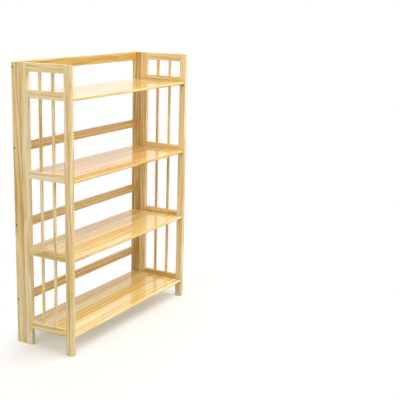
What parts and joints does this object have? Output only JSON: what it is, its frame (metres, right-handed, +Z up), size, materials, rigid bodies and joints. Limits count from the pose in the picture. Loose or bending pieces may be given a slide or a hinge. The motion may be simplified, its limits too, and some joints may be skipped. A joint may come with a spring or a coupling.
{
  "type": "folding bookcase",
  "caption": "Folding wooden bookcase with slatted side frames hinged to a back frame of posts and rails, and glossy shelves that swing up on pins.",
  "frame": {"origin": "middle of the footprint, on the floor", "axes": "+X to the right along the shelves, +Y to the back, +Z up"},
  "size_m": [0.9, 0.3, 1.2],
  "materials": {
    "frame_wood": "pale pine, clear satin lacquer, long grain along each piece",
    "shelf_wood": "pale pine board, clear gloss lacquer, grain along the shelf",
    "dowel_beech": "plain beech, uncoated",
    "screw_steel": "dark zinc-plated steel",
    "hinge_steel": "bright zinc-plated steel",
    "support_steel": "blue-grey zinc-plated steel"
  },
  "bodies": {
    "back_frame": {"back_rail_1": "frame_wood", "back_rail_2": "frame_wood", "back_rail_3": "frame_wood", "back_rail_4": "frame_wood", "back_rail_dowels": "dowel_beech", "back_rail_screws": "screw_steel", "hinge_pins": "hinge_steel", "left_back_post": "frame_wood", "post_hinge_leaves": "hinge_steel", "post_hinge_screws": "screw_steel", "right_back_post": "frame_wood"},
    "left_side": {"left_frame_dowels": "dowel_beech", "left_front_post": "frame_wood", "left_rear_post": "frame_wood", "left_shelf_rail_1": "frame_wood", "left_shelf_rail_2": "frame_wood", "left_shelf_rail_3": "frame_wood", "left_shelf_rail_4": "frame_wood", "left_shelf_supports": "support_steel", "left_side_hinge_leaves": "hinge_steel", "left_side_screws": "screw_steel", "left_slat_1_1": "frame_wood", "left_slat_1_2": "frame_wood", "left_slat_2_1": "frame_wood", "left_slat_2_2": "frame_wood", "left_slat_3_1": "frame_wood", "left_slat_3_2": "frame_wood", "left_slat_4_1": "frame_wood", "left_slat_4_2": "frame_wood", "left_top_rail": "frame_wood"},
    "right_side": {"right_frame_dowels": "dowel_beech", "right_front_post": "frame_wood", "right_rear_post": "frame_wood", "right_shelf_rail_1": "frame_wood", "right_shelf_rail_2": "frame_wood", "right_shelf_rail_3": "frame_wood", "right_shelf_rail_4": "frame_wood", "right_shelf_supports": "support_steel", "right_side_hinge_leaves": "hinge_steel", "right_side_screws": "screw_steel", "right_slat_1_1": "frame_wood", "right_slat_1_2": "frame_wood", "right_slat_2_1": "frame_wood", "right_slat_2_2": "frame_wood", "right_slat_3_1": "frame_wood", "right_slat_3_2": "frame_wood", "right_slat_4_1": "frame_wood", "right_slat_4_2": "frame_wood", "right_top_rail": "frame_wood"},
    "shelf_1": {"shelf_1": "shelf_wood", "shelf_1_pivot_pins": "hinge_steel"},
    "shelf_2": {"shelf_2": "shelf_wood", "shelf_2_pivot_pins": "hinge_steel"},
    "shelf_3": {"shelf_3": "shelf_wood", "shelf_3_pivot_pins": "hinge_steel"},
    "shelf_4": {"shelf_4": "shelf_wood", "shelf_4_pivot_pins": "hinge_steel"}
  },
  "joints": [
    {"name": "left_side_fold", "type": "hinge", "parent": "back_frame", "child": "left_side", "pos_m": [-0.427, 0.1032, 0.6], "axis": [0, 0, 1], "range_deg": [0, 0.6]},
    {"name": "right_side_fold", "type": "hinge", "parent": "back_frame", "child": "right_side", "pos_m": [0.427, 0.1032, 0.6], "axis": [0, 0, -1], "range_deg": [0, 0.6]},
    {"name": "shelf_1_lift", "type": "hinge", "parent": "back_frame", "child": "shelf_1", "pos_m": [0, 0.115, 1.066], "axis": [-1, 0, 0], "range_deg": [0, 90]},
    {"name": "shelf_2_lift", "type": "hinge", "parent": "back_frame", "child": "shelf_2", "pos_m": [0, 0.115, 0.738], "axis": [-1, 0, 0], "range_deg": [0, 90]},
    {"name": "shelf_3_lift", "type": "hinge", "parent": "back_frame", "child": "shelf_3", "pos_m": [0, 0.115, 0.41], "axis": [-1, 0, 0], "range_deg": [0, 90]},
    {"name": "shelf_4_lift", "type": "hinge", "parent": "back_frame", "child": "shelf_4", "pos_m": [0, 0.115, 0.082], "axis": [-1, 0, 0], "range_deg": [0, 90]}
  ]
}
